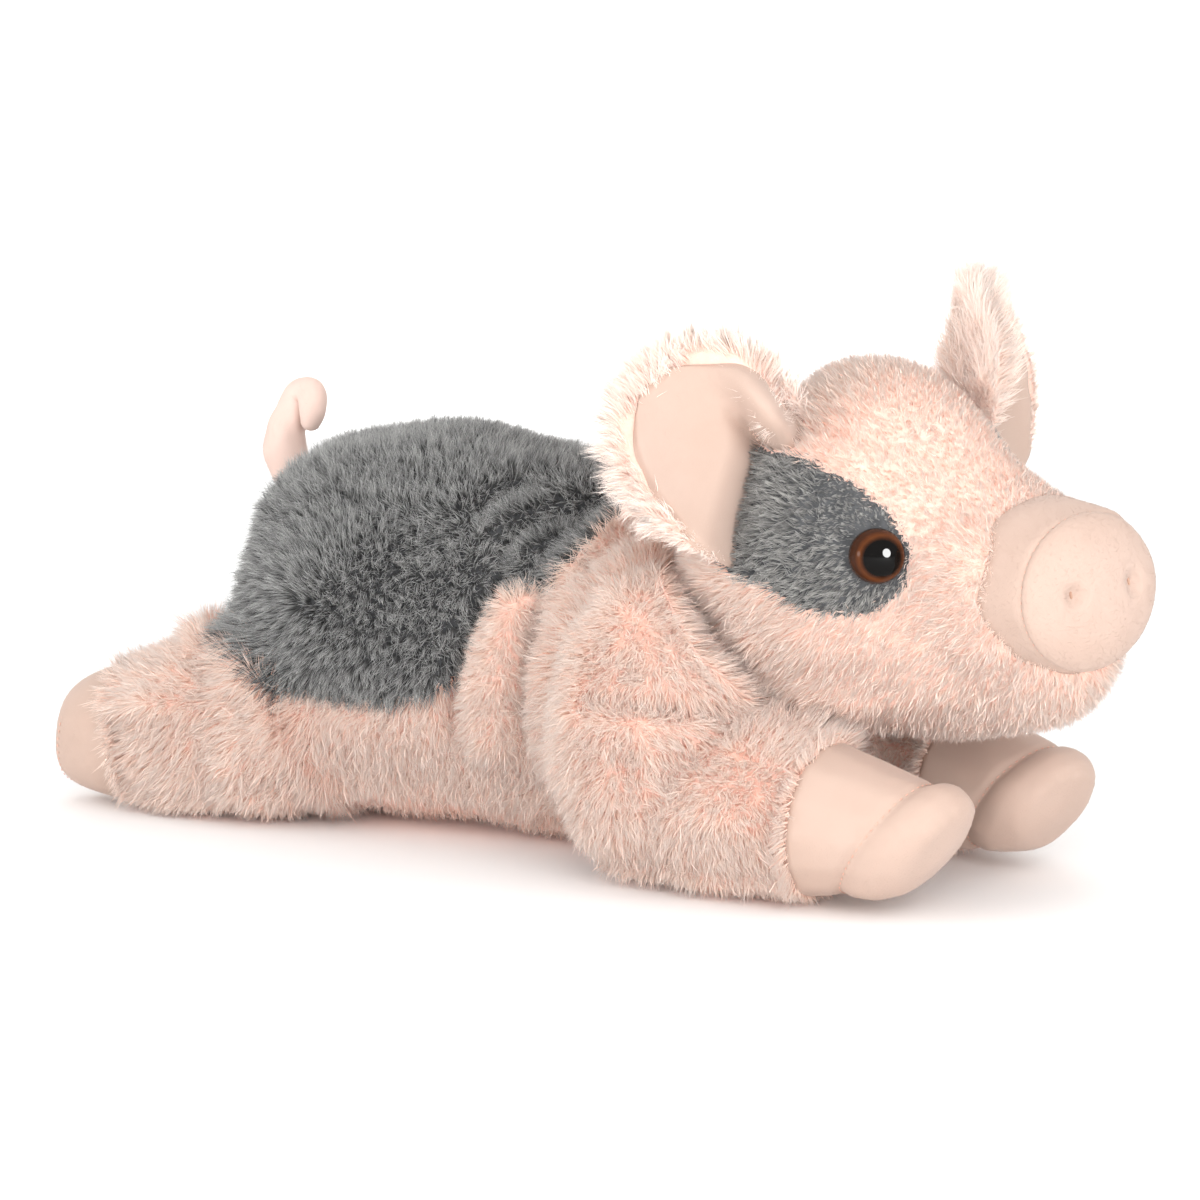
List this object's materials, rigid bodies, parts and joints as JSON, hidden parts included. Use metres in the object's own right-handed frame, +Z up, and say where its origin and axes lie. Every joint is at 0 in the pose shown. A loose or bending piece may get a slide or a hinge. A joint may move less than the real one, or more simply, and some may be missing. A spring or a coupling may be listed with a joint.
{
  "type": "plush pig",
  "caption": "Stuffed toy pig lying on its belly with its head turned to its right: plush body, velour snout, hooves, ear linings and curled tail, and glossy safety eyes.",
  "frame": {"origin": "on the table, in the flat of the belly, under the middle of the body", "axes": "+X along the body to the snout, +Y to the pig's left, +Z up"},
  "size_m": [0.2968, 0.1286, 0.142],
  "materials": {
    "pink_plush": "long pile",
    "grey_plush": "long pile",
    "pink_velour": "short pile",
    "stuffing": "fibre",
    "pouch": "woven",
    "eye_brown": "gloss",
    "eye_black": "gloss",
    "washer": "matte",
    "thread": "thread"
  },
  "bodies": {
    "torso": {"back_panel": "grey_plush", "belly_panel": "pink_plush", "torso_stuffing": "stuffing", "pellet_pouch": "pouch"},
    "neck": {"neck_core": "stuffing"},
    "head": {"head_skin": "pink_plush", "head_stuffing": "stuffing", "eye_patch_right": "grey_plush", "eye_patch_left": "grey_plush", "snout_wall": "pink_velour", "snout_disc": "pink_velour", "nostril_stitch_right": "thread", "nostril_stitch_left": "thread", "eye_right_dome": "eye_brown", "eye_right_stem": "eye_black", "eye_right_washer": "washer", "eye_left_dome": "eye_brown", "eye_left_stem": "eye_black", "eye_left_washer": "washer"},
    "ear_right": {"ear_right_back": "pink_plush", "ear_right_lining": "pink_velour"},
    "ear_left": {"ear_left_back": "pink_plush", "ear_left_lining": "pink_velour"},
    "front_leg_right": {"front_leg_right_skin": "pink_plush", "front_leg_right_hoof_wall": "pink_velour", "front_leg_right_hoof_pad": "pink_velour", "front_leg_right_stuffing": "stuffing"},
    "front_leg_left": {"front_leg_left_skin": "pink_plush", "front_leg_left_hoof_wall": "pink_velour", "front_leg_left_hoof_pad": "pink_velour", "front_leg_left_stuffing": "stuffing"},
    "rear_leg_right": {"rear_leg_right_skin": "pink_plush", "rear_leg_right_hoof_wall": "pink_velour", "rear_leg_right_hoof_pad": "pink_velour", "rear_leg_right_stuffing": "stuffing"},
    "rear_leg_left": {"rear_leg_left_skin": "pink_plush", "rear_leg_left_hoof_wall": "pink_velour", "rear_leg_left_hoof_pad": "pink_velour", "rear_leg_left_stuffing": "stuffing"},
    "tail": {"tail": "pink_velour"}
  },
  "joints": [
    {"name": "head_turn", "type": "hinge", "parent": "torso", "child": "neck", "pos_m": [0.046, 0, 0.067], "axis": [0, 0, 1], "range_deg": [-12, 12], "stiffness_Nm_per_rad": 0.6},
    {"name": "head_nod", "type": "hinge", "parent": "neck", "child": "head", "pos_m": [0.046, 0, 0.067], "axis": [-0.2334, -0.9724, 0], "range_deg": [0, 10], "stiffness_Nm_per_rad": 0.6},
    {"name": "ear_right_flap", "type": "hinge", "parent": "head", "child": "ear_right", "pos_m": [0.07091, -0.0424, 0.09266], "axis": [0.5709, 0.489, 0.6595], "range_deg": [-10, 15], "stiffness_Nm_per_rad": 0.02},
    {"name": "ear_left_flap", "type": "hinge", "parent": "head", "child": "ear_left", "pos_m": [0.0939, 0.02337, 0.1024], "axis": [-0.2597, 0.9386, -0.2269], "range_deg": [-10, 15], "stiffness_Nm_per_rad": 0.02},
    {"name": "front_leg_right_splay", "type": "hinge", "parent": "torso", "child": "front_leg_right", "pos_m": [0.042, -0.0385, 0], "axis": [0, 0, -1], "range_deg": [-4, 20], "stiffness_Nm_per_rad": 0.05},
    {"name": "front_leg_left_splay", "type": "hinge", "parent": "torso", "child": "front_leg_left", "pos_m": [0.042, 0.0385, 0], "axis": [0, 0, 1], "range_deg": [-4, 20], "stiffness_Nm_per_rad": 0.05},
    {"name": "rear_leg_right_splay", "type": "hinge", "parent": "torso", "child": "rear_leg_right", "pos_m": [-0.08, -0.03, 0], "axis": [0, 0, 1], "range_deg": [-4, 20], "stiffness_Nm_per_rad": 0.05},
    {"name": "rear_leg_left_splay", "type": "hinge", "parent": "torso", "child": "rear_leg_left", "pos_m": [-0.08, 0.03, 0], "axis": [0, 0, -1], "range_deg": [-4, 20], "stiffness_Nm_per_rad": 0.05},
    {"name": "tail_swing", "type": "hinge", "parent": "torso", "child": "tail", "pos_m": [-0.098, 0, 0.085], "axis": [1, 0, 0], "range_deg": [-20, 20], "stiffness_Nm_per_rad": 0.005}
  ]
}
